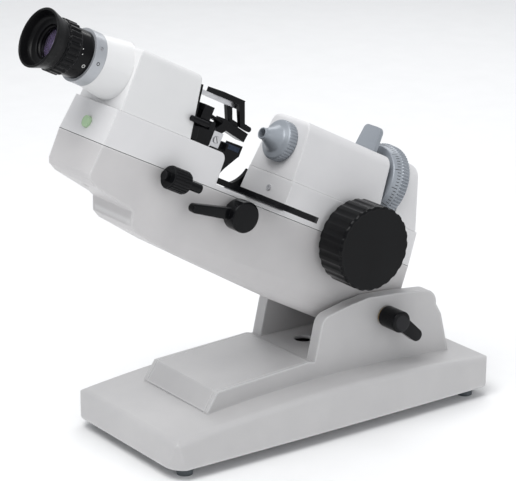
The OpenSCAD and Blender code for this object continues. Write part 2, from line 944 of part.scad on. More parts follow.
module cover_fixings() {
    color("silver")
    on_body()
        union() {
            for (x = [-1, 1], y = screw_s)
                translate([x * screw_x, y, seam_w])
                    rotate([180, 0, 0])
                        screw(2.6, ledge_w + 8 - seam_w, 5.4, 1.8);
            for (y = housing_screw_s)
                translate([0, y, screw_head_w])
                    rotate([180, 0, 0])
                        screw(2.6, seam_w + 12 - screw_head_w, 5.4, 1.8);
            for (x = [-1, 1])
                translate([x * screw_x, lamp_screw_s, ledge_w - 8])
                    rotate([180, 0, 0])
                        screw(2.6, 15, 5.4, 1.8);
            translate([0, eyepiece_s - 4.5, axis_w])
                rotate([0, 62, 0])
                    translate([0, 0, tube_r])
                        cylinder(d = 3, h = 3, $fn = 24);
            // Screw in the front face of the collimator block.
            translate([3.6, rear_face_s, ledge_w - 9.8])
                rotate([90, 0, 0])
                    screw(2.4, wall, 4.4, 0.8);
        }
}

// ---------- telescope and eyepiece ----------

module telescope_tube() {
    color([0.12, 0.12, 0.13])
    on_body()
        difference() {
            union() {
                rod_y(tube_r, eyepiece_s - 9, -254, 0, axis_w);
                rod_y(7, -254.5, tele_rear_s - 1, 0, axis_w);
            }
            rod_y(tube_r - 1.8, eyepiece_s - 10, -256, 0, axis_w);
            rod_y(5.8, -257, tele_rear_s, 0, axis_w);
        }
}

module objective_lens() {
    color([0.8, 0.9, 1, 0.6])
    on_body()
        intersection() {
            rod_y(5.8, -223, tele_rear_s - 2.4, 0, axis_w);
            translate([0, -246.5, axis_w])
                sphere(r = 30);
        }
}

module reticle() {
    color([0.8, 0.9, 1, 0.6])
    on_body()
        rod_y(tube_r - 1.8, -286, -284, 0, axis_w);
}

module eyepiece_clamp() {
    color("silver")
    on_body()
        difference() {
            rod_y(18.5, eyepiece_s - 9, eyepiece_s, 0, axis_w);
            rod_y(tube_r, eyepiece_s - 10, eyepiece_s + 1, 0, axis_w);
            // Hole of the set screw.
            translate([0, eyepiece_s - 4.5, axis_w])
                rotate([0, 62, 0])
                    cylinder(d = 3, h = 30, $fn = 24);
        }
}

barrel_r = 16.5;

module eyepiece_barrel() {
    color([0.1, 0.1, 0.11])
    on_body()
        difference() {
            union() {
                rod_y(barrel_r, eyepiece_s - 19, eyepiece_s - 9, 0, axis_w);
                rod_y(13, eyepiece_s - 26, eyepiece_s + 8, 0, axis_w);
            }
            rod_y(11.4, eyepiece_s - 27, eyepiece_s + 9, 0, axis_w);
        }
}

module dioptre_ring() {
    y0 = eyepiece_s - 31;
    y1 = eyepiece_s - 19.3;
    color([0.12, 0.12, 0.13])
    on_body()
        difference() {
            union() {
                rod_y(17.4, y0, y1, 0, axis_w);
                for (i = [0 : dioptre_ribs - 1])
                    translate([0, 0, axis_w])
                        rotate([0, i * 360 / dioptre_ribs, 0])
                            translate([-1.1, y0 + 0.8, 16])
                                cube([2.2, y1 - y0 - 1.6, 2.3]);
            }
            rod_y(13 + slip, y0 + 4, y1 + 1, 0, axis_w);
            rod_y(10.6, y0 - 1, y0 + 5, 0, axis_w);
        }
}

// Rubber cup with a flared rim, turned round the optical axis.
module eyecup() {
    rim = eyecup_r;
    color([0.08, 0.08, 0.08])
    on_body()
        translate([0, eyepiece_s - 31, axis_w])
            rotate([90, 0, 0])
                rotate_extrude()
                    polygon([
                        [10.6, 0], [17.4, 0], [17.8, 3], [18.9, 6], [19.6, 8.4], [rim, 11.4],
                        [rim - 0.7, 12], [rim - 1.7, 11.6], [17.4, 6.4], [16.4, 4.2], [12.2, 3.6],
                        [11.2, 2.6], [10.6, 1.6]]);
}

module eye_lens() {
    color([0.75, 0.7, 0.85, 0.6])
    on_body()
        intersection() {
            rod_y(10.6, eyepiece_s - 31, eyepiece_s - 27.3, 0, axis_w);
            translate([0, eyepiece_s - 31 + 34, axis_w])
                sphere(r = 34);
        }
}

module field_lens() {
    color([0.8, 0.9, 1, 0.6])
    on_body()
        intersection() {
            rod_y(11.4, eyepiece_s + 2, eyepiece_s + 6, 0, axis_w);
            translate([0, eyepiece_s + 2 + 40, axis_w])
                sphere(r = 40);
        }
}

// ---------- lens holder ----------

module rear_plate() {
    color([0.09, 0.09, 0.1])
    on_body()
        difference() {
            // Leaning plate against the rear face of the telescope cover.
            translate([0, tele_rear_s, ledge_w])
                rotate([tele_slope, 0, 0])
                    union() {
                        box([-22, 0, 0.2], [22, 3.2, 37.2]);
                        box([-22, 0, 0.2], [22, 7.6, 9]);
                    }
            rod_y(8.4, tele_rear_s - 14, tele_rear_s + 12, 0, axis_w);
            box([-4.6, tele_rear_s - 14, holder_w - 2.1], [4.6, tele_rear_s + 12, holder_w + 2.1]);
        }
}

bar_front_s = -244;
bar_rear_s = -168;
link_s0 = bar_front_s + 0.6;
link_s1 = bar_front_s + 6.4;
grip_arm_s0 = -223.5;
grip_arm_s1 = -218.5;
grip_travel = 13;
link_x0 = 15.4;
link_x1 = 17.6;

module holder_bar() {
    color("silver")
    on_body()
        box([-4.4, bar_front_s, holder_w - 1.6], [4.4, bar_rear_s, holder_w + 1.6]);
}

finger_x = 7.4;
finger_r = 1.9;

// One finger of the lens holder: it drops, leans to the lens and ends in a rubber-tipped toe.
module holder_finger() {
    elbow = [-164.8, 86.6];
    toe = [-158.4, 85.8];
    hull() {
        rod_x(finger_r + 0.5, -finger_r, finger_r, -172.6, holder_w + 3.2, $fn = 32);
        rod_x(finger_r, -finger_r, finger_r, elbow[0], elbow[1], $fn = 32);
    }
    hull() {
        rod_x(finger_r, -finger_r, finger_r, elbow[0], elbow[1], $fn = 32);
        rod_x(finger_r, -finger_r, finger_r, toe[0], toe[1], $fn = 32);
    }
}

module holder_fork() {
    color([0.08, 0.08, 0.08])
    on_body()
        union() {
            box([-9.3, -191, holder_w + 1.6], [9.3, -170.6, holder_w + 5.6]);
            for (side = [-1, 1])
                translate([side * finger_x, 0, 0])
                    holder_finger();
        }
}

// Flat strap from the bar down inside the body and out to the grip.
module holder_link() {
    color("silver")
    on_body()
        union() {
            box([-4.4, link_s0, holder_w + 1.6], [link_x1, link_s1, holder_w + 3.6]);
            box([link_x0, link_s0, holder_knob_w - 1.5], [link_x1, link_s1, holder_w + 3.6]);
            box([link_x0, link_s0, holder_knob_w - 1.5], [23, grip_arm_s1, holder_knob_w + 1.5]);
            box([link_x0, grip_arm_s0, holder_knob_w - 1.5],
                [holder_knob_x, grip_arm_s1, holder_knob_w + 1.5]);
        }
}

// Grip with a knurled collar on a short rod that runs along the body.
module holder_knob() {
    y0 = holder_knob_s - 7.6;
    y1 = holder_knob_s + 7.6;
    color([0.09, 0.09, 0.1])
    on_body()
        difference() {
            union() {
                rod_y(3.3, y0 - 4, y1 + 13, holder_knob_x, holder_knob_w);
                rod_y(7.6, y0, y1, holder_knob_x, holder_knob_w);
                for (i = [0 : 23])
                    translate([holder_knob_x, 0, holder_knob_w])
                        rotate([0, i * 15, 0])
                            translate([-0.5, y0 + 1, 7])
                                cube([1, y1 - y0 - 2, 1.1]);
            }
            box([holder_knob_x - 20, grip_arm_s0, holder_knob_w - 1.5],
                [holder_knob_x, grip_arm_s1, holder_knob_w + 1.5]);
        }
}

// ---------- marking device ----------

module marker_block() {
    color([0.08, 0.08, 0.08])
    on_body()
        union() {
            box([-16, -206.2, ledge_w], [16, -191, ledge_w + 14]);
            box([-16, -206.2, ledge_w + 13.9], [-8, -198, ledge_w + 26]);
            box([8, -206.2, ledge_w + 13.9], [16, -198, ledge_w + 26]);
            // Stub used to hold the block while it is adjusted.
            rod_y(2, -222, -204, 27.6, ledge_w + 13.4);
            box([14, -206.2, ledge_w + 10.4], [29.6, -203, ledge_w + 16.4]);
        }
}

module marker_bracket() {
    color("silver")
    on_body()
        difference() {
            union() {
                for (side = [-1, 1])
                    box([side > 0 ? 10 : -13, -191, ledge_w + 1.4],
                        [side > 0 ? 13 : -10, -180.4, ledge_w + 12]);
                box([-13, -191, ledge_w + 1.4], [13, -189, ledge_w + 12]);
            }
            rod_x(1.5, -20, 20, marker_pivot_s, marker_pivot_w);
        }
}

pen_pitch = 3.2;
pen_r = 1.1;
pen_rear_s = -178.5;
pen_length = 24;
arm_half = 5;

// Frame of the pens: Y runs along the pens, which dip towards the lens.
module on_pens() {
    translate([0, pen_rear_s, pen_w])
        rotate([-pen_tilt, 0, 0])
            children();
}

module marker_arm() {
    color([0.08, 0.08, 0.08])
    on_body()
        difference() {
            union() {
                rod_x(1.5 - slip, -13, 13, marker_pivot_s, marker_pivot_w);
                rod_x(3.6, -9.7, 9.7, marker_pivot_s, marker_pivot_w);
                hull() {
                    rod_x(3.4, -arm_half, arm_half, marker_pivot_s, marker_pivot_w, $fn = 32);
                    box([-arm_half, pen_rear_s, pen_w - 3], [arm_half, pen_rear_s + 6, pen_w - 1]);
                }
                on_pens()
                    box([-arm_half, 0, -3.3], [arm_half, pen_length, 3.3]);
            }
            on_pens()
                for (i = [-1 : 1])
                    rod_y(pen_r + slip, -20, 60, i * pen_pitch, 0);
        }
}

// Three pens ganged by a cross bar behind the arm.
module marker_pens() {
    color([0.16, 0.16, 0.18])
    on_body()
        on_pens()
            union() {
                for (i = [-1 : 1]) {
                    rod_y(pen_r, -17, pen_length - 0.6, i * pen_pitch, 0);
                    rod_y(pen_r, pen_length - 0.7, pen_length + 1, i * pen_pitch, 0, 0.5);
                }
                box([-arm_half, -18, -2.2], [arm_half, -15.4, 2.2]);
            }
}

module ink_pad_stand() {
    color([0.08, 0.08, 0.08])
    on_body()
        union() {
            box([-9, -173.6, deck_w], [9, -168, deck_w + 1.6]);
            side_slab(18)
                polygon([
                    [-173, deck_w + 1], [-171.6, deck_w + 1], [-165.6, 54.6], [-158.4, 65],
                    [-157.4, 66], [-170.6, 66], [-171.6, 65]]);
            side_slab(18)
                polygon([
                    [-171, 65.9], [-157.6, 65.9], [-157.6, 73.4], [-159, 73.4], [-159, 68],
                    [-169.6, 68], [-169.6, 71], [-171, 71]]);
        }
}

module ink_pad() {
    color("darkslategray")
    on_body()
        box([-8.6, -169.5, 68], [8.6, -159.1, 71.6]);
}

// ---------- nosepiece and lens table ----------

module nosepiece() {
    rim_y = rear_face_s - 7.4;
    color("slategray")
    on_body()
        difference() {
            union() {
                rod_y(14.75, rim_y, rear_face_s, 0, axis_w);
                rod_y(9.98, rear_face_s - 1, rear_face_s + 9, 0, axis_w);
                translate([0, rim_y, axis_w])
                    rotate([90, 0, 0])
                        rotate_extrude()
                            polygon([
                                [0, -1], [14, -1], [14, 0], [9.6, 1.2], [8, 4], [5.6, 8.6],
                                [4.4, 11], [4.2, 14], [0, 14]]);
            }
            rod_y(8, rear_face_s - 5, rear_face_s + 10, 0, axis_w);
            rod_y(3.2, rear_face_s - 30, rear_face_s, 0, axis_w);
            // Grip flutes on the flange.
            for (i = [0 : 35])
                translate([0, 0, axis_w])
                    rotate([0, i * 10, 0])
                        translate([0, rim_y + 1.6, 15.2])
                            rotate([-90, 0, 0])
                                cylinder(r = 0.9, h = 8, $fn = 16);
        }
}

module standard_lens() {
    color([0.8, 0.9, 1, 0.6])
    on_body()
        intersection() {
            rod_y(8, rear_face_s - 4, rear_face_s + 1, 0, axis_w);
            translate([0, rear_face_s - 4 + 26, axis_w])
                sphere(r = 26);
        }
}

module lens_table() {
    y_mid = table_rear_s - table_d / 2;
    color([0.08, 0.08, 0.09])
    on_body()
        union() {
            difference() {
                translate([0, y_mid, table_w])
                    linear_extrude(table_t)
                        rounded_rect(table_l, table_d, 7);
                // Socket of the stem.
                box([-8.02, -146.32, table_w - 1], [8.02, -137.68, table_w + 2.5]);
            }
            // Guide wing on the left flank of the collimator block.
            translate([-half_body - 4.3, 0, 0])
                rotate([90, 0, 90])
                    linear_extrude(3.4)
                        polygon(concat(
                            [[-96, table_w], [-96, 61], [-115.4, 61]],
                            arc(-137, 66, 22, -15, -60, 8),
                            [[-128, table_w]]));
        }
}

table_teeth = 14;
table_module = 1.4;
rack_pitch_s = table_shaft_s + table_teeth * table_module / 2;

module table_stem() {
    color("silver")
    on_body()
        union() {
            box([-8, -146.3, -12.8], [8, -137.7, table_w + 2.5]);
            // Rack that faces the lever pinion.
            translate([-4, rack_pitch_s, table_shaft_w - 4 * PI * table_module])
                rotate([90, 0, 90])
                    rotate(90)
                        mirror([0, 1])
                            linear_extrude(8)
                                rack_outline(44, table_module, 3.6);
        }
}

module table_pinion() {
    color("goldenrod")
    on_body()
        difference() {
            translate([-4, table_shaft_s, table_shaft_w])
                rotate([90, 0, 90])
                    linear_extrude(8)
                        gear_outline(table_teeth, table_module);
            rod_x(3, -10, 10, table_shaft_s, table_shaft_w);
        }
}

table_lever_angle = 190;
table_lever_reach = 42;

module table_lever() {
    color([0.11, 0.11, 0.12])
    on_body()
        translate([0, table_shaft_s, table_shaft_w])
            union() {
                rod_x(3, -25, 30);
                rod_x(9.6, half_body + 1.2, half_body + 4.2);
                rod_x(11, half_body + 4, half_body + 16.4);
                rotate([table_lever_angle, 0, 0])
                    translate([half_body + 5, 0, -3.2])
                        union() {
                            cube([6.5, table_lever_reach - 3.2, 6.4]);
                            translate([0, table_lever_reach - 3.2, 3.2])
                                rotate([0, 90, 0])
                                    cylinder(r = 3.2, h = 6.5);
                        }
            }
}

// ---------- power drive ----------

power_in_x = half_body + 3.8;

module power_wheel() {
    color([0.12, 0.12, 0.13])
    on_body()
        union() {
            difference() {
                rod_x(power_r, power_in_x, power_in_x + power_depth, power_s, power_w);
                for (i = [0 : power_flutes - 1])
                    translate([power_in_x - 1, power_s, power_w])
                        rotate([i * 360 / power_flutes, 0, 0])
                            translate([0, power_r + 5, 0])
                                rotate([0, 90, 0])
                                    cylinder(r = 5.8, h = power_depth + 2);
                rod_x(power_r - 3.4, power_in_x - 1, power_in_x + power_depth - 4, power_s, power_w);
            }
            rod_x(8, power_in_x - 2.6, power_in_x + power_depth - 3.9, power_s, power_w);
            rod_x(3, -24, power_in_x, power_s, power_w);
        }
}

module power_pinion() {
    color("goldenrod")
    on_body()
        difference() {
            translate([-5, power_s, power_w])
                rotate([90, 0, 90])
                    linear_extrude(10)
                        rotate(90)
                            gear_outline(pinion_teeth, pinion_module);
            rod_x(3, -10, 10, power_s, power_w);
        }
}

module power_bearings() {
    color("goldenrod")
    on_body()
        for (side = [-1, 1])
            difference() {
                rod_x(5, side > 0 ? 19.2 : -24.4, side > 0 ? half_body - 0.8 : -19.2,
                    power_s, power_w);
                rod_x(3 + slip, -60, 60, power_s, power_w);
            }
}

rod_spread = 13.4;
rail_rear_s = -39.2;
rod_w = 71;

module optical_rail() {
    color("silver")
    on_body()
        union() {
            for (side = [-1, 1])
                rod_y(2.5, rear_face_s + 2.4, rail_rear_s + 3.6, side * rod_spread, rod_w);
            // Frames that stand on the chassis and hold the rod ends.
            for (y = [rear_face_s + 2.7, rail_rear_s])
                difference() {
                    box([-16.6, y, ledge_w], [16.6, y + 3.4, 76]);
                    for (side = [-1, 1])
                        rod_y(2.4, y - 1, y + 5, side * rod_spread, rod_w);
                    rod_y(13.4, y - 1, y + 5, 0, axis_w);
                }
        }
}

carriage_s0 = -84;
carriage_s1 = -70;
holder_r = 12;
rack_length = 34;

module target_carriage() {
    rack_w = power_w + pinion_teeth * pinion_module / 2;
    color("silver")
    on_body()
        union() {
            difference() {
                union() {
                    box([-16.8, carriage_s0, 66], [16.8, carriage_s1, 76]);
                    rod_y(15, carriage_s0, carriage_s1, 0, axis_w);
                }
                for (side = [-1, 1])
                    rod_y(2.5 + slip, carriage_s0 - 1, carriage_s1 + 1, side * rod_spread, rod_w);
                rod_y(holder_r + slip, carriage_s0 - 1, carriage_s1 + 1, 0, axis_w);
            }
            box([-5, carriage_s0 + 6, rack_w + 2.9], [5, carriage_s1 + 6, 66.1]);
            translate([-5, power_s, rack_w])
                rotate([90, 0, 90])
                    linear_extrude(10)
                        rack_outline(rack_length, pinion_module, 3);
        }
}

key_r = 9.4;

module target_holder() {
    color("slategray")
    on_body()
        difference() {
            union() {
                rod_y(holder_r, carriage_s0 - 0.4, carriage_s1 + 0.4, 0, axis_w);
                rod_y(holder_r + 1.6, carriage_s1 + 0.4, carriage_s1 + 2, 0, axis_w);
            }
            rod_y(2.4, carriage_s0 - 2, carriage_s1 + 4, 0, axis_w);
            for (a = [0, 180])
                translate([0, 0, axis_w])
                    rotate([0, a, 0])
                        rod_y(1.25 + slip, carriage_s0 - 2, carriage_s1 + 4, key_r, 0);
        }
}

module axis_ring() {
    color("slategray")
    on_body()
        difference() {
            union() {
                rod_y(axis_ring_r - 0.7, ring_front_s, ring_rear_s, 0, axis_w);
                for (i = [0 : 71])
                    translate([0, 0, axis_w])
                        rotate([0, i * 5, 0])
                            translate([-0.6, ring_rear_s - 5.4, axis_ring_r - 1.2])
                                cube([1.2, 5, 1.2]);
            }
            rod_y(11 + slip, ring_front_s - 1, ring_rear_s + 1, 0, axis_w);
            for (a = [0, 180])
                translate([0, 0, axis_w])
                    rotate([0, a, 0])
                        rod_y(1.25, ring_front_s - 1, ring_front_s + 8, 12.8, 0);
        }
}

// Two rods fixed in the ring; cranks bring them into the holes of the target holder.
module axis_key_rods() {
    color("silver")
    on_body()
        translate([0, 0, axis_w])
            for (a = [0, 180])
                rotate([0, a, 0])
                    union() {
                        rod_y(1.25, -100, ring_front_s - 1.6, key_r, 0);
                        box([key_r - 1, ring_front_s - 2.6, -1.2], [14, ring_front_s - 0.6, 1.2]);
                        rod_y(1.25, ring_front_s - 1, ring_front_s + 7, 12.8, 0);
                    }
}

// ---------- filter, lamp and switch ----------

filter_arm_s = -106;
filter_r = 4.4;

// Tab, spindle and filter arm of the green filter, in one piece.
module filter_lever() {
    color("slategray")
    on_body()
        difference() {
            union() {
                translate([0, filter_s, 0])
                    cross_slab(-1.7, 1.7)
                        polygon(concat(
                            [[-11, top_w - 1]],
                            arc(-4.6, 120, 4.2, 170, 90, 6),
                            arc(5.2, 119.4, 4.8, 90, 10, 6),
                            [[11, top_w - 1], [-14, 96.8], [-17.6, 98], [-17.6, 100], [-14.6, 103.4]]));
                rod_y(1.5, filter_arm_s, filter_s, filter_pivot_x, filter_pivot_w);
                translate([0, filter_arm_s, 0])
                    cross_slab(-1.4, 1.4)
                        polygon(concat(
                            arc(0, axis_w, 5.8, -120, 60, 16),
                            [[filter_pivot_x + 1.4, filter_pivot_w + 2.2]],
                            [[filter_pivot_x - 1.8, filter_pivot_w + 1.4]],
                            [[filter_pivot_x - 1.4, filter_pivot_w - 2.2]]));
            }
            rod_y(filter_r, filter_arm_s - 4, filter_arm_s + 4, 0, axis_w);
        }
}

module green_filter() {
    color([0.2, 0.7, 0.3, 0.7])
    on_body()
        rod_y(filter_r, filter_arm_s - 0.8, filter_arm_s + 0.8, 0, axis_w);
}

// Tube in the front wall of the lamp cover; the cylinder axis ring turns on it.
module bearing_tube() {
    color("silver")
    on_body()
        difference() {
            rod_y(11, ring_front_s + 2, lamp_front_s + 4, 0, axis_w);
            rod_y(9, ring_front_s, lamp_front_s + 5, 0, axis_w);
        }
}

module condenser_lens() {
    color([0.8, 0.9, 1, 0.6])
    on_body()
        intersection() {
            rod_y(9, ring_front_s + 5, ring_front_s + 11, 0, axis_w);
            translate([0, ring_front_s + 5 + 24, axis_w])
                sphere(r = 24);
        }
}

module lamp() {
    color("white")
    on_body()
        union() {
            box([-12, -11.8, ledge_w], [12, -9.8, axis_w + 10]);
            box([-17, -11.8, ledge_w], [17, -9.8, ledge_w + 4]);
            difference() {
                rod_y(3, -14.4, -11.7, 0, axis_w);
                rod_y(2, -15, -13.4, 0, axis_w);
            }
            for (i = [-2 : 2])
                box([i * 4.6 - 0.8, -9.9, ledge_w + 6], [i * 4.6 + 0.8, -5.2, axis_w + 3]);
        }
}

module power_switch() {
    color([0.1, 0.1, 0.1])
    on_body()
        union() {
            box([-5, front_s + 8, button_w - 5], [5, -265, button_w + 5]);
            rod_y(1.6, front_s + 7.7, front_s + 8.1, 0, button_w);
        }
}

module power_button() {
    color([0.35, 0.7, 0.3])
    on_body()
        union() {
            rod_y(4, front_s - 1.2, front_s + 4, 0, button_w);
            rod_y(6, front_s + 3.9, front_s + 6, 0, button_w);
        }
}

base_casting();
cover_panel();
bottom_plate();
plate_screws();
rubber_feet();
foot_screws();
power_supply();
power_inlet();
tilt_shaft();
tilt_bushes();
friction_washers();
shaft_nut();
clamp_lever();
lower_housing();
chassis();
telescope_cover();
collimator_cover();
lamp_cover();
cover_fixings();
telescope_tube();
objective_lens();
reticle();
eyepiece_clamp();
eyepiece_barrel();
dioptre_ring();
eyecup();
eye_lens();
field_lens();
rear_plate();
holder_bar();
holder_fork();
holder_link();
holder_knob();
marker_block();
marker_bracket();
marker_arm();
marker_pens();
ink_pad_stand();
ink_pad();
nosepiece();
standard_lens();
lens_table();
table_stem();
table_lever();
table_pinion();
power_wheel();
power_pinion();
power_bearings();
optical_rail();
target_carriage();
target_holder();
axis_ring();
axis_key_rods();
filter_lever();
green_filter();
bearing_tube();
condenser_lens();
lamp();
power_switch();
power_button();
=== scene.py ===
"""Lensmeter: the looks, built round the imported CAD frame.

Everything is in metres in the CAD frame: +X is the operator's right, +Y points away, +Z is up.
The optical body lies at an angle, so most pieces are drawn in its own frame: X right, Y along
the optical axis away from the eye, Z up out of the body.
"""

import json
import math

import bmesh
import bpy
from mathutils import Matrix, Vector


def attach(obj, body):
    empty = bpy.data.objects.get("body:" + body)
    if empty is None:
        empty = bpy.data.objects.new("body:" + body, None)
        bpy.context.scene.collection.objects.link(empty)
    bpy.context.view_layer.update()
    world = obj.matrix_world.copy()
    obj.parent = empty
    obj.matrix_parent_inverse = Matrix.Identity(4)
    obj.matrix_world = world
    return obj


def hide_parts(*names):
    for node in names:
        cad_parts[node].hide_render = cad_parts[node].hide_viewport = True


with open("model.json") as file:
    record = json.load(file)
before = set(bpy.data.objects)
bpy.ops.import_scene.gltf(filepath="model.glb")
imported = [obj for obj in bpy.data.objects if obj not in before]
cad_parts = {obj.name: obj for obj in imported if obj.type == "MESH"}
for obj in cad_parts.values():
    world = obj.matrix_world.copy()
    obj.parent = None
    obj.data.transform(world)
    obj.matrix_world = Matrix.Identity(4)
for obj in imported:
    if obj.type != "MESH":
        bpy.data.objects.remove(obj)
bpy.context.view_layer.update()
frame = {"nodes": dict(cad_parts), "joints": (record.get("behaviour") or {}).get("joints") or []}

MM = 0.001
NODES = frame["nodes"]
JOINTS = {joint["name"]: joint for joint in frame["joints"]}

# ---------- frames ----------


def tilted_frame():
    """The body's own frame: its origin is the tilt axis and its Y runs along the optical axis."""
    along = Vector(JOINTS["dioptre_turn"]["axis"]).normalized()
    right = Vector((1, 0, 0))
    turn = Matrix((right, along, right.cross(along))).transposed()
    return Matrix.Translation(Vector(JOINTS["body_tilt"]["pos_m"])) @ turn.to_4x4()


ON_BODY = tilted_frame()
ON_TABLE = Matrix.Identity(4)


def extent(node, place=ON_BODY):
    """Lowest and highest corner of a CAD node, measured in the given frame."""
    inverse = place.inverted()
    points = [inverse @ v.co for v in NODES[node].data.vertices]
    low = Vector([min(p[i] for p in points) for i in range(3)])
    high = Vector([max(p[i] for p in points) for i in range(3)])
    return low, high


def middle(node, place=ON_BODY):
    low, high = extent(node, place)
    return (low + high) / 2


# Turns local Z to point along the frame's X, or along its Y towards the eye.
ALONG_X = Matrix.Rotation(math.radians(90), 4, "Y")
TO_EYE = Matrix.Rotation(math.radians(90), 4, "X")


# ---------- materials ----------


def link(tree, source, socket, node, name):
    tree.links.new(source.outputs[socket], node.inputs[name])


def object_coordinates(tree, stretch=(1, 1, 1)):
    coordinates = tree.nodes.new("ShaderNodeTexCoord")
    mapping = tree.nodes.new("ShaderNodeMapping")
    mapping.inputs["Scale"].default_value = stretch
    link(tree, coordinates, "Object", mapping, "Vector")
    return mapping


def noise(tree, mapping, scale, detail=4, roughness=0.55):
    node = tree.nodes.new("ShaderNodeTexNoise")
    node.inputs["Scale"].default_value = scale
    node.inputs["Detail"].default_value = detail
    node.inputs["Roughness"].default_value = roughness
    link(tree, mapping, "Vector", node, "Vector")
    return node


def remap(tree, source, socket, low, high):
    node = tree.nodes.new("ShaderNodeMapRange")
    node.inputs["From Min"].default_value = 0.3
    node.inputs["From Max"].default_value = 0.7
    node.inputs["To Min"].default_value = low
    node.inputs["To Max"].default_value = high
    link(tree, source, socket, node, "Value")
    return node


def surface(
    name,
    light,
    dark,
    rough=(0.35, 0.45),
    metallic=0.0,
    patch=30,
    grain=900,
    grain_height=0.02,
    stretch=(1, 1, 1),
    edge=0.0006,
    coat=0.0,
    specular=0.5,
    edge_highlight=None,
    edge_highlight_width=0.6,
    edge_highlight_amount=0.25,
):
    """A procedural finish: two-tone mottling, uneven gloss, fine grain and softened edges.

    patch and grain are noise scales per metre. edge is in metres; grain_height and the edge tone's
    width are in millimetres. The edge tone is a painted highlight on the outer edges, mixed in up
    to the given amount.
    """
    material = bpy.data.materials.new(name)
    material.use_nodes = True
    tree = material.node_tree
    shader = tree.nodes["Principled BSDF"]
    shader.inputs["Metallic"].default_value = metallic
    shader.inputs["Coat Weight"].default_value = coat
    shader.inputs["Specular IOR Level"].default_value = specular
    mapping = object_coordinates(tree, stretch)
    patches = noise(tree, mapping, patch)
    speckle = noise(tree, mapping, grain, detail=2)

    tone = tree.nodes.new("ShaderNodeMix")
    tone.data_type = "RGBA"
    tone.inputs["A"].default_value = (*dark, 1)
    tone.inputs["B"].default_value = (*light, 1)
    spread = remap(tree, patches, "Fac", 0, 1)
    link(tree, spread, "Result", tone, "Factor")

    gloss = remap(tree, speckle, "Fac", *rough)
    link(tree, gloss, "Result", shader, "Roughness")

    soft_edge = tree.nodes.new("ShaderNodeBevel")
    soft_edge.samples = 6
    soft_edge.inputs["Radius"].default_value = edge
    bump = tree.nodes.new("ShaderNodeBump")
    bump.inputs["Strength"].default_value = 1.0
    bump.inputs["Distance"].default_value = grain_height * MM
    link(tree, speckle, "Fac", bump, "Height")
    link(tree, soft_edge, "Normal", bump, "Normal")
    link(tree, bump, "Normal", shader, "Normal")

    if edge_highlight is None:
        link(tree, tone, "Result", shader, "Base Color")
        return material
    # Painted highlight: the base colour turns towards the edge tone on outer edges, found by inside
    # occlusion.
    highlighted = painted_edge_highlight(tree, edge_highlight, edge_highlight_width, edge_highlight_amount)
    link(tree, tone, "Result", highlighted, "A")
    link(tree, highlighted, "Result", shader, "Base Color")
    return material


def painted_edge_highlight(tree, edge_highlight, width, most):
    """Painted highlight: a mix towards the edge tone where the surface bends outward at an edge."""
    highlighted = tree.nodes.new("ShaderNodeMix")
    highlighted.data_type = "RGBA"
    highlighted.inputs["B"].default_value = (*edge_highlight, 1)
    edges = tree.nodes.new("ShaderNodeAmbientOcclusion")
    edges.samples = 4
    edges.inside = True
    edges.inputs["Distance"].default_value = width * MM
    amount = tree.nodes.new("ShaderNodeMapRange")
    amount.inputs["From Min"].default_value = 0.9
    amount.inputs["From Max"].default_value = 0.4
    amount.inputs["To Max"].default_value = most
    link(tree, edges, "AO", amount, "Value")
    link(tree, amount, "Result", highlighted, "Factor")
    return highlighted


def glass(name, tint, rough=0.02, coat=(1, 1, 1)):
    """Clear glass with a coating sheen that changes slowly over the surface."""
    material = bpy.data.materials.new(name)
    material.use_nodes = True
    tree = material.node_tree
    shader = tree.nodes["Principled BSDF"]
    shader.inputs["Transmission Weight"].default_value = 0.92
    shader.inputs["IOR"].default_value = 1.52
    shader.inputs["Coat Weight"].default_value = 0.6
    shader.inputs["Coat Tint"].default_value = (*coat, 1)
    mapping = object_coordinates(tree)
    cloud = noise(tree, mapping, 60)
    tone = tree.nodes.new("ShaderNodeMix")
    tone.data_type = "RGBA"
    tone.inputs["A"].default_value = (*[0.9 * c for c in tint], 1)
    tone.inputs["B"].default_value = (*tint, 1)
    link(tree, cloud, "Fac", tone, "Factor")
    link(tree, tone, "Result", shader, "Base Color")
    smear = remap(tree, cloud, "Fac", rough, rough + 0.03)
    link(tree, smear, "Result", shader, "Roughness")
    return material


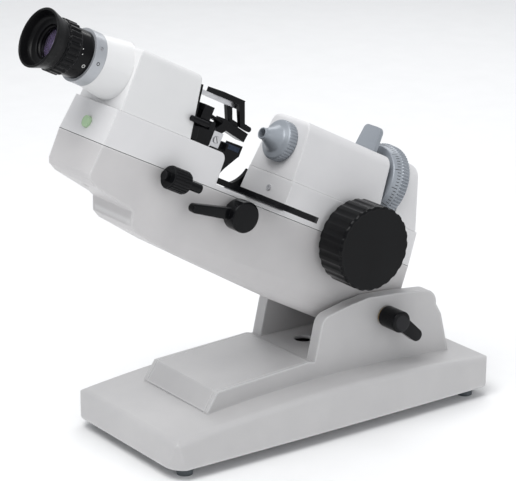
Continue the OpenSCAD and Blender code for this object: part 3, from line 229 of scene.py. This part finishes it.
def make_finishes():
    """One material per finish seen on the instrument."""
    steel = dict(metallic=1.0, grain=400, grain_height=0.008, stretch=(1, 1, 14), edge=0.0002)
    # Painted highlight: painted finishes turn a near-white tone along their outer edges.
    painted = dict(
        grain=1500, grain_height=0.02, edge_highlight=(0.86, 0.86, 0.86), edge_highlight_width=1.8, edge_highlight_amount=0.6)
    # Painted highlight: black finishes turn dark grey along their outer edges.
    black = dict(edge_highlight=(0.05, 0.05, 0.055), edge=0.0004, specular=0.14)
    return {
        "upper_paint": surface(
            "upper_paint", (0.70, 0.695, 0.70), (0.665, 0.66, 0.668), (0.34, 0.44),
            edge=0.0012, **painted),
        "cover_paint": surface(
            "cover_paint", (0.72, 0.72, 0.72), (0.69, 0.69, 0.693), (0.32, 0.42),
            edge=0.0012, **painted),
        "lower_paint": surface(
            "lower_paint", (0.575, 0.562, 0.562), (0.54, 0.528, 0.53), (0.38, 0.48),
            edge=0.0014, **painted),
        "base_paint": surface(
            "base_paint", (0.515, 0.508, 0.508), (0.48, 0.474, 0.476), (0.36, 0.48),
            edge=0.0016, **painted),
        "steel": surface("steel", (0.62, 0.62, 0.63), (0.50, 0.50, 0.52), (0.22, 0.36), **steel),
        "satin_ring": surface(
            "satin_ring", (0.47, 0.485, 0.51), (0.40, 0.415, 0.44), (0.28, 0.4), metallic=0.4,
            grain=700, grain_height=0.01, edge=0.0004),
        "brass": surface(
            "brass", (0.80, 0.58, 0.25), (0.66, 0.45, 0.18), (0.22, 0.36), metallic=1.0,
            grain=700, grain_height=0.01, edge=0.0002),
        "rubber": surface(
            "rubber", (0.005, 0.005, 0.0055), (0.003, 0.003, 0.0035), (0.26, 0.38),
            grain=1200, grain_height=0.04, edge=0.0004, specular=0.14),
        "foot_rubber": surface(
            "foot_rubber", (0.10, 0.115, 0.125), (0.07, 0.08, 0.09), (0.5, 0.65),
            grain=1200, grain_height=0.04, edge=0.0005),
        "black_paint": surface(
            "black_paint", (0.005, 0.005, 0.006), (0.003, 0.003, 0.004), (0.16, 0.28),
            grain=1600, grain_height=0.02, **black),
        "black_plastic": surface(
            "black_plastic", (0.0045, 0.0048, 0.0055), (0.003, 0.003, 0.0036), (0.12, 0.22),
            grain=1800, grain_height=0.02, **black),
        "grey_anodised": surface(
            "grey_anodised", (0.325, 0.35, 0.385), (0.275, 0.30, 0.33), (0.32, 0.44), metallic=0.25,
            grain=900, grain_height=0.012, edge=0.0004),
        "lining": surface(
            "lining", (0.24, 0.14, 0.08), (0.15, 0.09, 0.05), (0.7, 0.85),
            patch=400, grain=1500, grain_height=0.08),
        "board": surface(
            "board", (0.03, 0.22, 0.10), (0.02, 0.15, 0.07), (0.3, 0.5), patch=300, coat=0.4),
        "lamp_white": surface("lamp_white", (0.75, 0.75, 0.72), (0.66, 0.66, 0.63), (0.4, 0.55)),
        "felt": surface(
            "felt", (0.03, 0.045, 0.075), (0.015, 0.022, 0.04), (0.9, 1.0),
            patch=600, grain=2500, grain_height=0.15),
        "green_plastic": surface(
            "green_plastic", (0.45, 0.62, 0.39), (0.38, 0.55, 0.33), (0.16, 0.26), coat=0.5),
        "white_mark": surface("white_mark", (0.72, 0.72, 0.70), (0.60, 0.60, 0.58), (0.5, 0.6)),
        "dark_gap": surface("dark_gap", (0.03, 0.03, 0.03), (0.02, 0.02, 0.02), (0.7, 0.85)),
        "glass": glass("clear_glass", (0.93, 0.97, 0.97)),
        "coated_glass": glass("coated_glass", (0.80, 0.74, 0.86), rough=0.0, coat=(0.8, 0.68, 1.0)),
        "green_glass": glass("green_glass", (0.25, 0.75, 0.35)),
    }


FINISH = make_finishes()

# The finish of each CAD node, by group.
NODE_FINISH = {
    "base_paint": ["base_casting", "cover_panel"],
    "lower_paint": ["lower_housing"],
    "upper_paint": ["chassis", "collimator_cover", "lamp_cover"],
    "cover_paint": ["telescope_cover"],
    "steel": [
        "bottom_plate", "plate_screws", "foot_screws", "tilt_shaft", "shaft_nut", "cover_fixings",
        "holder_bar", "holder_link", "marker_bracket", "table_stem", "optical_rail",
        "target_carriage", "axis_key_rods", "bearing_tube"],
    "satin_ring": ["eyepiece_clamp"],
    "brass": ["tilt_bushes", "table_pinion", "power_pinion", "power_bearings"],
    "rubber": ["eyecup"],
    "foot_rubber": ["rubber_feet"],
    "black_paint": [
        "telescope_tube", "rear_plate", "marker_block", "ink_pad_stand", "lens_table",
        "marker_arm"],
    "black_plastic": [
        "power_inlet", "clamp_lever", "eyepiece_barrel", "dioptre_ring", "holder_fork",
        "holder_knob", "marker_pens", "table_lever", "power_wheel", "power_switch"],
    "grey_anodised": ["nosepiece", "axis_ring", "filter_lever", "target_holder"],
    "lining": ["friction_washers"],
    "board": ["power_supply"],
    "lamp_white": ["lamp"],
    "felt": ["ink_pad"],
    "green_plastic": ["power_button"],
    "glass": ["objective_lens", "reticle", "field_lens", "standard_lens", "condenser_lens"],
    "coated_glass": ["eye_lens"],
    "green_glass": ["green_filter"],
}


def paint(obj, finish):
    obj.data.materials.clear()
    obj.data.materials.append(FINISH[finish])


def paint_cad_nodes():
    for finish, members in NODE_FINISH.items():
        for node in members:
            paint(NODES[node], finish)


# ---------- mesh helpers ----------


def add_mesh(name, mesh, place, finish, body):
    """A named piece from a bmesh, put in place, painted and carried by a CAD body."""
    mesh.normal_update()
    data = bpy.data.meshes.new(name)
    bmesh.ops.recalc_face_normals(mesh, faces=mesh.faces)
    mesh.to_mesh(data)
    mesh.free()
    data.transform(place)
    obj = bpy.data.objects.new(name, data)
    bpy.context.scene.collection.objects.link(obj)
    data.shade_smooth()
    data.set_sharp_from_angle(angle=math.radians(38))
    paint(obj, finish)
    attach(obj, body)
    return obj


def soften(profile, radius, steps=5):
    """The open polyline with every inner corner rounded to the radius, or as far as it fits."""
    points = [Vector(p) for p in profile]
    result = [points[0]]
    for before, corner, after in zip(points, points[1:], points[2:]):
        back = before - corner
        ahead = after - corner
        reach = min(radius, back.length * 0.45, ahead.length * 0.45)
        start = corner + back.normalized() * reach
        end = corner + ahead.normalized() * reach
        for i in range(steps + 1):
            t = i / steps
            result.append(start * (1 - t) ** 2 + corner * 2 * t * (1 - t) + end * t**2)
    result.append(points[-1])
    return result


def revolve(profile, segments, shape=None):
    """A turned solid round local Z from (radius, height) points; shape varies the radius."""
    mesh = bmesh.new()
    rings = []
    for radius, height in profile:
        if radius < 1e-7:
            rings.append([mesh.verts.new((0, 0, height))])
            continue
        ring = []
        for i in range(segments):
            angle = 2 * math.pi * i / segments
            r = shape(radius, height, angle) if shape else radius
            ring.append(mesh.verts.new((r * math.cos(angle), r * math.sin(angle), height)))
        rings.append(ring)
    for low, high in zip(rings, rings[1:]):
        join_rings(mesh, low, high)
    return mesh


def join_rings(mesh, low, high):
    """Faces between two rings, or between a ring and a single point."""
    count = max(len(low), len(high))
    for i in range(count):
        j = (i + 1) % count
        corners = [low[i % len(low)], low[j % len(low)], high[j % len(high)], high[i % len(high)]]
        unique = list(dict.fromkeys(corners))
        if len(unique) > 2:
            mesh.faces.new(unique)


paint_cad_nodes()

# ---------- eyepiece ----------


def add_eyecup():
    """Rubber cup: a straight neck, a flared skirt and a thick rolled rim."""
    low, high = extent("eyecup")
    rim = high.x
    depth = high.y - low.y
    outline = [
        (0.52 * rim, 0), (0.853 * rim, 0), (0.875 * rim, 0.25 * depth), (0.925 * rim, 0.5 * depth),
        (rim, 0.9 * depth), (rim, 0.97 * depth), (0.965 * rim, depth), (0.925 * rim, 0.97 * depth),
        (0.86 * rim, 0.52 * depth), (0.80 * rim, 0.36 * depth), (0.62 * rim, 0.32 * depth),
        (0.585 * rim, 0.30 * depth), (0.565 * rim, 0.16 * depth), (0.52 * rim, 0.12 * depth),
        (0.52 * rim, 0)]
    place = ON_BODY @ Matrix.Translation((0, high.y, middle("eyecup").z)) @ TO_EYE
    cup = add_mesh(
        "eyecup_skin", revolve(soften(outline, 0.8 * MM), 96), place, "rubber", "eyepiece")
    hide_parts("eyecup")


def rib_wave(count, height):
    """Radius function of a grip with rounded ribs."""
    def shape(radius, _, angle):
        wave = 0.5 + 0.5 * math.cos(count * angle)
        return radius - height * (1 - min(1.0, 1.6 * wave))
    return shape


def add_dioptre_ring():
    low, high = extent("dioptre_ring")
    outer = high.x
    length = high.y - low.y
    bore = 0.575 * outer
    grip = rib_wave(26, 0.9 * MM)

    def shape(radius, height, angle):
        on_grip = radius > 0.95 * outer and 0.1 * length < height < 0.9 * length
        return grip(radius, height, angle) if on_grip else radius

    outline = [
        (bore, 0), (0.93 * outer, 0), (0.95 * outer, 0.11 * length), (outer, 0.13 * length),
        (outer, 0.87 * length), (0.95 * outer, 0.89 * length), (0.93 * outer, length),
        (bore, length), (bore, 0)]
    place = ON_BODY @ Matrix.Translation((0, high.y, middle("dioptre_ring").z)) @ TO_EYE
    ring = add_mesh(
        "dioptre_grip", revolve(soften(outline, 0.5 * MM, 3), 312, shape), place,
        "black_plastic", "eyepiece")
    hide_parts("dioptre_ring")


def add_barrel_marks():
    """Two index dots and a circle on the black barrel, and a circle on the silver clamp ring."""
    barrel = extent("eyepiece_barrel")[1].x
    ring_low, ring_high = extent("eyepiece_clamp")
    place = ON_BODY @ Matrix.Translation((0, ring_low.y, middle("eyepiece_clamp").z)) @ TO_EYE
    dot = [(0, 0), (0.42 * MM, 0), (0.42 * MM, 0.08 * MM), (0, 0.08 * MM)]
    for i, (turn, ahead) in enumerate([(14, 8.8), (2, 8.2)]):
        spot = Matrix.Rotation(math.radians(turn), 4, "Z") @ Matrix.Translation(
            (barrel - 0.02 * MM, 0, ahead * MM)) @ ALONG_X
        add_mesh(f"barrel_dot_{i}", revolve(dot, 24), place @ spot, "white_mark", "optical_body")
    inner, outer, thick = 0.75 * MM, 1.25 * MM, 0.05 * MM
    circle = [(inner, 0), (outer, 0), (outer, thick), (inner, thick), (inner, 0)]
    half_ring = (ring_low.y - ring_high.y) / 2
    for name, radius, turn, ahead, finish in (
            ("barrel_circle", barrel, -22, 3.4 * MM, "white_mark"),
            ("clamp_ring_circle", ring_high.x, -4, half_ring, "dark_gap")):
        spot = Matrix.Rotation(math.radians(turn), 4, "Z") @ Matrix.Translation(
            (radius - 0.01 * MM, 0, ahead)) @ ALONG_X
        add_mesh(name, revolve(circle, 32), place @ spot, finish, "optical_body")


# ---------- wheel, rings and knobs ----------


def add_power_wheel():
    """Deep black hand wheel: wide shallow flutes, a bevelled rim and a slightly dished face."""
    low, high = extent("power_wheel")
    outer = (high.y - low.y) / 2
    centre = middle("power_wheel")
    depth = 25.9 * MM
    flutes = 24
    cutter = 6.2 * MM
    offset = outer + 5.6 * MM

    def shape(radius, _, angle):
        if radius < 0.9 * outer:
            return radius
        swing = (angle * flutes / (2 * math.pi) + 0.5) % 1 - 0.5
        theta = swing * 2 * math.pi / flutes
        inside = cutter**2 - (offset * math.sin(theta)) ** 2
        if inside <= 0:
            return radius
        return min(radius, radius / outer * (offset * math.cos(theta) - math.sqrt(inside)))

    outline = [
        (0.5 * outer, 2 * MM), (0.8 * outer, 1.5 * MM), (0.96 * outer, 0), (outer, 1.0 * MM),
        (outer, depth - 1.3 * MM), (0.968 * outer, depth - 0.15 * MM), (0.95 * outer, depth),
        (0.93 * outer, depth - 0.1 * MM), (0, depth - 0.1 * MM)]
    place = ON_BODY @ Matrix.Translation((high.x - depth, centre.y, centre.z)) @ ALONG_X
    wheel = add_mesh(
        "power_wheel_rim", revolve(soften(outline, 0.7 * MM, 4), 480, shape), place,
        "black_plastic", "power_drive")
    hub_r = 0.27 * outer
    hub = [(0, -2.6 * MM), (hub_r, -2.6 * MM), (hub_r, 3 * MM), (0, 3 * MM)]
    add_mesh("power_wheel_hub", revolve(hub, 64), place, "black_plastic", "power_drive")
    shaft = [(0, -54 * MM), (3 * MM, -54 * MM), (3 * MM, 0), (0, 0)]
    add_mesh("power_shaft", revolve(shaft, 32), place, "steel", "power_drive")
    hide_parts("power_wheel")


def add_axis_ring():
    """Cylinder axis ring: a knurled rim behind, and a sloping band with black graduations."""
    low, high = extent("axis_ring")
    outer = high.x
    depth = high.y - low.y
    rim = 0.52 * depth
    bore = 11.1 * MM
    band_start = Vector((0.965 * outer, rim + 1.1 * MM))
    band_end = Vector((0.88 * outer, depth - 0.5 * MM))
    grip = rib_wave(72, 0.9 * MM)

    def shape(radius, height, angle):
        return grip(radius, height, angle) if radius > 0.985 * outer else radius

    outline = [
        (bore, 0), (0.97 * outer, 0), (outer, 0.5 * MM), (outer, rim),
        (0.97 * outer, rim + 0.5 * MM), tuple(band_start), tuple(band_end), (0.86 * outer, depth),
        (bore, depth), (bore, 0)]
    place = ON_BODY @ Matrix.Translation((0, high.y, middle("axis_ring").z)) @ TO_EYE
    ring = add_mesh(
        "axis_ring_rim", revolve(soften(outline, 0.25 * MM, 3), 800, shape), place,
        "grey_anodised", "cylinder_axis_ring")
    add_ring_scale(band_start, band_end, place)
    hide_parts("axis_ring")


def add_ring_scale(band_start, band_end, place):
    """Graduations every five degrees on the ring's band, longer at each thirty."""
    run = band_end - band_start
    lean = Matrix.Rotation(math.atan2(run.x, run.y), 4, "Y")
    marks = bmesh.new()
    for i in range(72):
        share = 0.8 if i % 6 == 0 else 0.45
        spot = band_start + run * (0.1 + share / 2)
        turn = Matrix.Rotation(math.radians(5 * i), 4, "Z")
        size = Matrix.Diagonal((0.1 * MM, 0.45 * MM, share * run.length, 1))
        at = Matrix.Translation((spot.x, 0, spot.y))
        bmesh.ops.create_cube(marks, size=1, matrix=turn @ at @ lean @ size)
    add_mesh("axis_ring_scale", marks, place, "dark_gap", "cylinder_axis_ring")


def add_nosepiece():
    """Turned nosepiece: a fluted flange, a waisted cone and a small open mouth."""
    low, high = extent("nosepiece")
    flange = high.x
    rear = extent("collimator_cover")[0].y
    length = rear - low.y
    outline = [
        (0.22 * flange, 0.55 * length), (0.22 * flange, length), (0.285 * flange, length),
        (0.30 * flange, 0.86 * length), (0.38 * flange, 0.76 * length),
        (0.54 * flange, 0.56 * length), (0.67 * flange, 0.43 * length),
        (0.93 * flange, 0.36 * length), (flange, 0.31 * length), (flange, 0), (0.6 * flange, 0)]
    grip = rib_wave(36, 0.55 * MM)

    def shape(radius, height, angle):
        return grip(radius, height, angle) if radius > 0.97 * flange else radius

    place = ON_BODY @ Matrix.Translation((0, rear, middle("nosepiece").z)) @ TO_EYE
    nose = add_mesh(
        "nosepiece_skin", revolve(soften(outline, 0.9 * MM, 4), 360, shape), place,
        "grey_anodised", "optical_body")
    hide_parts("nosepiece")


def tapered_arm(root, tip, reach, low, high, edge):
    """A flat arm along local X whose ends are round: a bevelled plate between two heights."""
    lean = math.asin((root - tip) / reach)
    outline = []
    for i in range(17):
        angle = math.pi / 2 - lean + (math.pi + 2 * lean) * i / 16
        outline.append((root * math.cos(angle), root * math.sin(angle)))
    for i in range(17):
        angle = -(math.pi / 2 - lean) + (math.pi - 2 * lean) * i / 16
        outline.append((reach + tip * math.cos(angle), tip * math.sin(angle)))
    mesh = bmesh.new()
    bottom = mesh.faces.new([mesh.verts.new((x, y, low)) for x, y in outline])
    result = bmesh.ops.extrude_face_region(mesh, geom=[bottom])
    lifted = [v for v in result["geom"] if isinstance(v, bmesh.types.BMVert)]
    bmesh.ops.translate(mesh, verts=lifted, vec=(0, 0, high - low))
    rims = [e for e in mesh.edges if abs(e.verts[0].co.z - e.verts[1].co.z) < 1e-7]
    bmesh.ops.bevel(mesh, geom=rims, offset=edge, segments=4, profile=0.5, affect="EDGES")
    return mesh


def add_lever(name, node, body, place, hub, arm, angle):
    """A knob with a tapered arm, drawn along the shaft and turned to the given angle.

    hub is (radius, start, end); arm is (root radius, tip radius, reach, start, end).
    """
    turned = place @ ALONG_X
    radius, start, end = hub
    outline = [(0, start), (radius, start), (radius, end), (0, end)]
    knob = add_mesh(
        name + "_hub", revolve(soften(outline, 1.4 * MM), 96), turned, "black_plastic", body)
    root, tip, reach, low, high = arm
    spin = Matrix.Rotation(angle, 4, "Z")
    add_mesh(
        name + "_arm", tapered_arm(root, tip, reach, low, high, 1.1 * MM), turned @ spin,
        "black_plastic", body)
    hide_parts(node)


def add_levers():
    """The lens table's lever on the body, and the tilt clamp on the right cheek."""
    face = extent("table_lever")[1].x
    shaft = Vector(JOINTS["table_lever_turn"]["pos_m"])
    place = Matrix.Translation(shaft) @ ON_BODY.to_3x3().to_4x4()
    add_lever(
        "table_lever", "table_lever", "table_drive", place,
        (11 * MM, face - 12.4 * MM, face),
        (4.6 * MM, 3.2 * MM, 38.8 * MM, face - 11.4 * MM, face - 5 * MM),
        math.radians(280))
    shaft_r, shaft_end = 3 * MM, -25 * MM
    collar_r, collar_start, collar_end = 9.4 * MM, face - 14 * MM, face - 12 * MM
    neck = [
        (0, shaft_end), (shaft_r, shaft_end), (shaft_r, collar_start), (collar_r, collar_start),
        (collar_r, collar_end), (0, collar_end)]
    add_mesh("table_lever_neck", revolve(neck, 64), place @ ALONG_X, "black_plastic", "table_drive")

    low, high = extent("clamp_lever", ON_TABLE)
    pivot = Matrix.Translation(Vector(JOINTS["clamp_turn"]["pos_m"]))
    add_lever(
        "clamp_lever", "clamp_lever", "clamp", pivot,
        (8 * MM, low.x, high.x),
        (5.6 * MM, 4.6 * MM, 20.2 * MM, high.x - 7.8 * MM, high.x - 0.2 * MM),
        math.radians(49))


# ---------- lens holder and marking device ----------


def add_slotted_head(name, radius, place, body):
    """A low screw head along local Z with a dark slot across it."""
    outline = [(0, 0), (radius, 0), (radius, 0.55 * MM), (0.9 * radius, 0.8 * MM), (0, 0.8 * MM)]
    add_mesh(name, revolve(soften(outline, 0.2 * MM, 3), 48), place, "steel", body)
    slot = bmesh.new()
    spot = Matrix.Translation((0, 0, 0.75 * MM)) @ Matrix.Rotation(0.6, 4, "Z")
    size = Matrix.Diagonal((1.7 * radius, 0.24 * radius, 0.16 * MM, 1))
    bmesh.ops.create_cube(slot, size=1, matrix=spot @ size)
    add_mesh(name + "_slot", slot, place, "dark_gap", body)


def add_marker_screws():
    """Slotted screws on both ends of the marking arm's pivot."""
    pivot = Vector(JOINTS["marker_swing"]["pos_m"])
    half = extent("marker_bracket")[1].x
    place = Matrix.Translation(pivot) @ ON_BODY.to_3x3().to_4x4()
    for side, label in ((1, "right"), (-1, "left")):
        face = place @ Matrix.Translation((side * half, 0, 0))
        turn = Matrix.Rotation(math.radians(90 * side), 4, "Y")
        add_slotted_head(f"marker_screw_{label}", 2.6 * MM, face @ turn, "optical_body")


# ---------- joints and gaps ----------


def add_strip(name, low, high, finish, body, place=ON_BODY):
    """A thin straight bar between two corners."""
    low, high = Vector(low), Vector(high)
    mesh = bmesh.new()
    size = high - low
    spot = Matrix.Translation((low + high) / 2) @ Matrix.Diagonal((*size, 1))
    bmesh.ops.create_cube(mesh, size=1, matrix=spot)
    return add_mesh(name, mesh, place, finish, body)


def add_seam():
    """The dark joint line where the chassis sits in the lower housing."""
    low, high = extent("lower_housing")
    half = 0.04 * MM
    thick = 0.16 * MM
    seam = high.z
    front_low = low.y
    rear_end = extent("chassis")[1].y - 0.3 * MM
    for side, label in ((-1, "left"), (1, "right")):
        inner = side * (high.x - 0.3 * MM)
        outer = side * (high.x + half)
        add_strip(
            f"seam_{label}", (min(inner, outer), front_low, seam - thick),
            (max(inner, outer), rear_end, seam + thick), "dark_gap", "optical_body")
    add_strip(
        "seam_front", (low.x, front_low - half, seam - thick),
        (high.x, front_low + 0.3 * MM, seam + thick), "dark_gap", "optical_body")


add_eyecup()
add_dioptre_ring()
add_barrel_marks()
add_power_wheel()
add_axis_ring()
add_nosepiece()
add_levers()
add_marker_screws()
add_seam()

# ---------- stage, light and camera ----------


BASE_CENTRE = Vector((0, middle("base_casting", ON_TABLE).y, 0))
BODY_CENTRE = BASE_CENTRE + Vector((0, -0.03, 0.16))


def add_floor():
    mesh = bmesh.new()
    bmesh.ops.create_grid(mesh, x_segments=1, y_segments=1, size=6)
    data = bpy.data.meshes.new("floor")
    mesh.to_mesh(data)
    mesh.free()
    floor = bpy.data.objects.new("floor", data)
    bpy.context.scene.collection.objects.link(floor)
    floor.data.materials.append(
        surface("floor_paper", (0.93, 0.93, 0.93), (0.91, 0.91, 0.91), (0.75, 0.85), edge=0.0))


def add_light(name, offset, size, power):
    """A soft light placed from the middle of the base, aimed at the middle of the body."""
    data = bpy.data.lights.new(name, "AREA")
    data.shape = "RECTANGLE"
    data.size, data.size_y = size
    data.energy = power
    lamp = bpy.data.objects.new(name, data)
    lamp.location = BASE_CENTRE + Vector(offset)
    aim = BODY_CENTRE - lamp.location
    lamp.rotation_euler = aim.to_track_quat("-Z", "Y").to_euler()
    bpy.context.scene.collection.objects.link(lamp)


def add_world():
    world = bpy.data.worlds.new("studio")
    world.use_nodes = True
    background = world.node_tree.nodes["Background"]
    background.inputs["Color"].default_value = (0.95, 0.97, 1.0, 1)
    background.inputs["Strength"].default_value = 0.58
    bpy.context.scene.world = world


def add_camera():
    """The camera stands where the photo was taken from, to the right and in front."""
    data = bpy.data.cameras.new("camera")
    data.lens = 156.6
    data.sensor_width = 36
    data.clip_end = 20
    camera = bpy.data.objects.new("camera", data)
    place = BASE_CENTRE + Vector((1.2195, -0.9168, 0.6229))
    target = BASE_CENTRE + Vector((0, -0.02703, 0.13468))
    roll = Matrix.Rotation(math.radians(0.28), 4, "Z")
    turn = (target - place).to_track_quat("-Z", "Y").to_matrix().to_4x4()
    camera.matrix_world = Matrix.Translation(place) @ turn @ roll
    bpy.context.scene.collection.objects.link(camera)
    bpy.context.scene.camera = camera


add_floor()
add_world()
add_light("key", (0.25, -0.73, 1.6), (1.2, 1.0), 19)
add_light("fill", (1.6, 0.27, 0.6), (1.0, 1.0), 3)
add_light("back", (-0.8, 0.87, 1.2), (1.0, 0.8), 6)
add_camera()
bpy.context.scene.view_settings.view_transform = "Standard"
